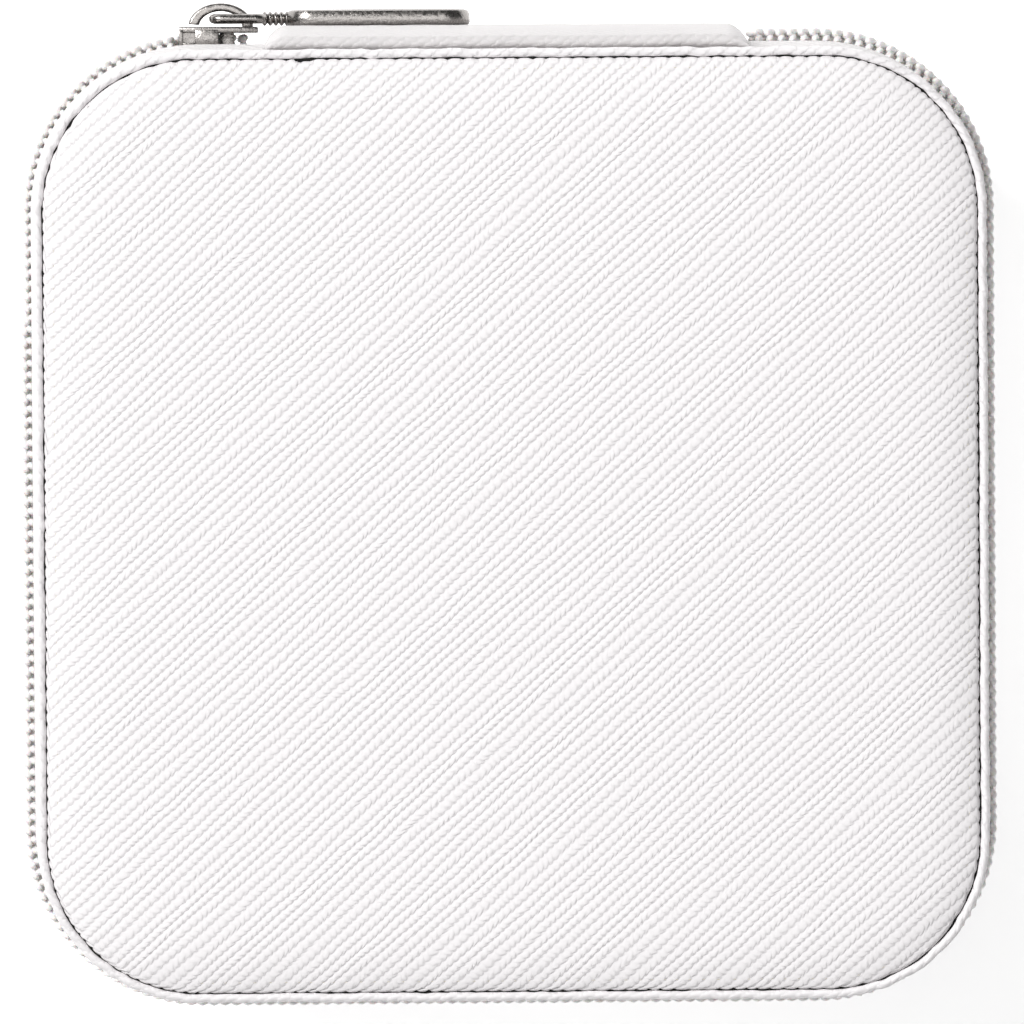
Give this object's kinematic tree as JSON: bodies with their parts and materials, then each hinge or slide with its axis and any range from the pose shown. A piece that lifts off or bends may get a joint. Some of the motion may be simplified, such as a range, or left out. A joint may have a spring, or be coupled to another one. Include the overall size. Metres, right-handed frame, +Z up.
{
  "type": "jewelry box",
  "caption": "Square zip-up travel jewelry box: padded lid on a soft spine, coil zip with slider and pull tag, ring rolls, compartments, lid pocket and necklace straps.",
  "frame": {"origin": "centre of the flat underside, on the surface that the box rests on", "axes": "+Z up through the lid, +Y towards the spine at the back, +X to the right seen from above"},
  "size_m": [0.1002, 0.1037, 0.05],
  "materials": {
    "case_leather": "embossed, semi-matt",
    "piping_leather": "smooth grain, semi-matt",
    "strap_leather": "fine grain, semi-matt",
    "board": "black card, matt",
    "foam": "open-cell foam, matt",
    "zip_tape": "woven polyester",
    "zip_coil": "nylon coil, satin",
    "nickel": "polished nickel plate",
    "snap_metal": "polished nickel plate",
    "velvet": "short-pile velvet",
    "pocket_satin": "gathered satin",
    "elastic": "woven elastic"
  },
  "bodies": {
    "base": {"base_bottom_panel": "case_leather", "base_board": "board", "base_piping": "piping_leather", "base_wall": "case_leather", "base_zip_tape": "zip_tape", "base_zip_coil": "zip_coil", "spine_lower": "case_leather", "base_liner": "velvet", "base_floor": "velvet", "divider_long": "velvet", "divider_cross_1": "velvet", "divider_cross_2": "velvet", "ring_roll_1": "velvet", "ring_roll_2": "velvet", "ring_roll_3": "velvet", "ring_roll_4": "velvet", "ring_roll_5": "velvet", "ring_roll_6": "velvet", "ring_roll_7": "velvet"},
    "lid": {"lid_cover": "case_leather", "lid_foam": "foam", "lid_board": "board", "lid_piping": "piping_leather", "lid_wall": "case_leather", "lid_zip_tape": "zip_tape", "lid_zip_coil": "zip_coil", "spine_upper": "case_leather", "lid_lining": "velvet", "lid_pocket": "pocket_satin", "pocket_elastic": "elastic", "strap_tab_left": "strap_leather", "strap_tab_middle": "strap_leather", "strap_tab_right": "strap_leather", "snap_stud_left": "snap_metal", "snap_stud_middle": "snap_metal", "snap_stud_right": "snap_metal"},
    "slider": {"slider_body": "nickel", "slider_crown": "nickel"},
    "pull": {"pull_tag": "nickel"},
    "necklace_strap_left": {"strap_left": "strap_leather", "snap_cap_left": "snap_metal"},
    "necklace_strap_middle": {"strap_middle": "strap_leather", "snap_cap_middle": "snap_metal"},
    "necklace_strap_right": {"strap_right": "strap_leather", "snap_cap_right": "snap_metal"}
  },
  "joints": [
    {"name": "lid_hinge", "type": "hinge", "parent": "base", "child": "lid", "pos_m": [0, 0.0513, 0.029], "axis": [-1, 0, 0], "range_deg": [0, 100]},
    {"name": "slider_run", "type": "hinge", "parent": "base", "child": "slider", "pos_m": [-0.032, 0.032, 0.025], "axis": [0, 0, 1], "range_deg": [0, 90]},
    {"name": "pull_swing", "type": "hinge", "parent": "slider", "child": "pull", "pos_m": [-0.0303, 0.05195, 0.025], "axis": [0, 0, 1], "range_deg": [0, 170]},
    {"name": "strap_fold_left", "type": "hinge", "parent": "lid", "child": "necklace_strap_left", "pos_m": [-0.024, -0.036, 0.0436], "axis": [-1, 0, 0], "range_deg": [0, 75]},
    {"name": "strap_fold_middle", "type": "hinge", "parent": "lid", "child": "necklace_strap_middle", "pos_m": [0, -0.036, 0.0436], "axis": [-1, 0, 0], "range_deg": [0, 75]},
    {"name": "strap_fold_right", "type": "hinge", "parent": "lid", "child": "necklace_strap_right", "pos_m": [0.024, -0.036, 0.0436], "axis": [-1, 0, 0], "range_deg": [0, 75]}
  ]
}
